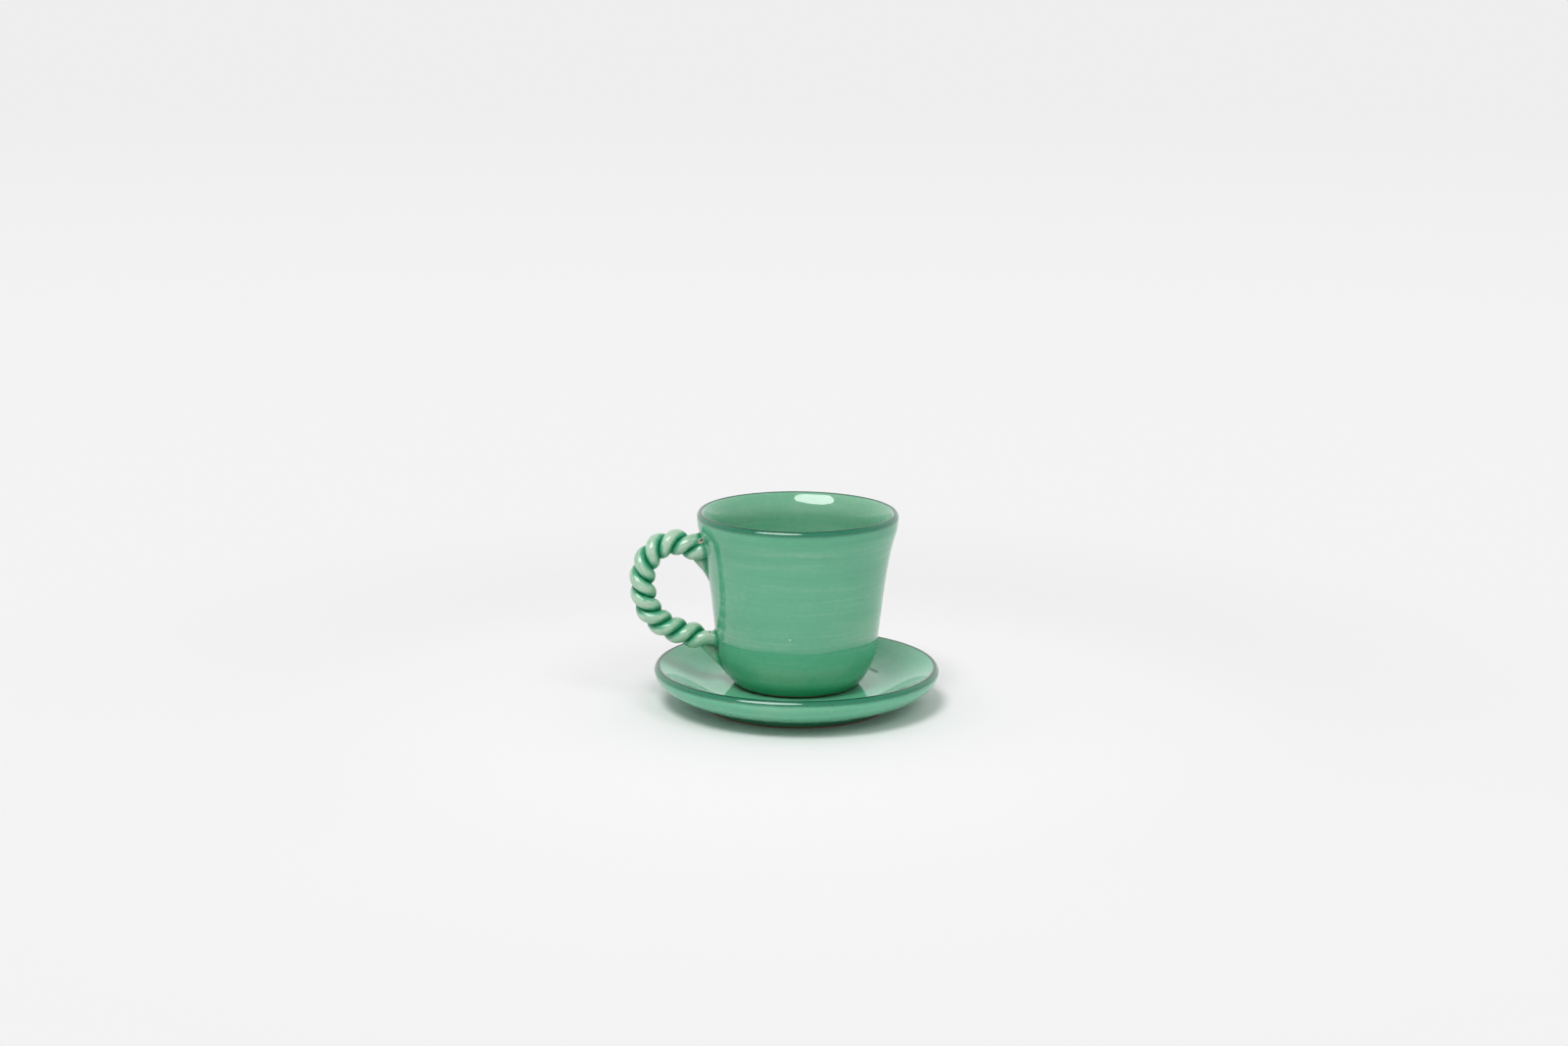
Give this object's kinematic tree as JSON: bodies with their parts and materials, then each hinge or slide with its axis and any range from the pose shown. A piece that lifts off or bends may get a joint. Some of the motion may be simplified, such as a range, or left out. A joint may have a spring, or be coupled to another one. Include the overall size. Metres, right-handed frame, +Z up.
{
  "type": "coffee cup with saucer",
  "caption": "Hand-thrown glazed coffee cup with a twisted rope handle, resting loose in the well of a shallow dished saucer on a flat foot.",
  "frame": {"origin": "centre of the saucer's flat foot on the table, on the common axis of saucer and cup", "axes": "+Z up along the common axis, -X towards the handle, +Y away from the picture's viewpoint"},
  "size_m": [0.133, 0.1226, 0.0843],
  "materials": {
    "wall_glaze": "glossy green glaze over red earthenware",
    "rope_glaze": "glossy green glaze, thin and pale on the strands"
  },
  "bodies": {
    "saucer": {"saucer": "wall_glaze"},
    "cup": {"cup_body": "wall_glaze", "handle_plain_strand": "rope_glaze", "handle_tailed_strand": "rope_glaze"}
  },
  "joints": [
    {"name": "cup_lift", "type": "slide", "parent": "saucer", "child": "cup", "axis": [0, 0, 1], "range_m": [0, 0.1]}
  ]
}
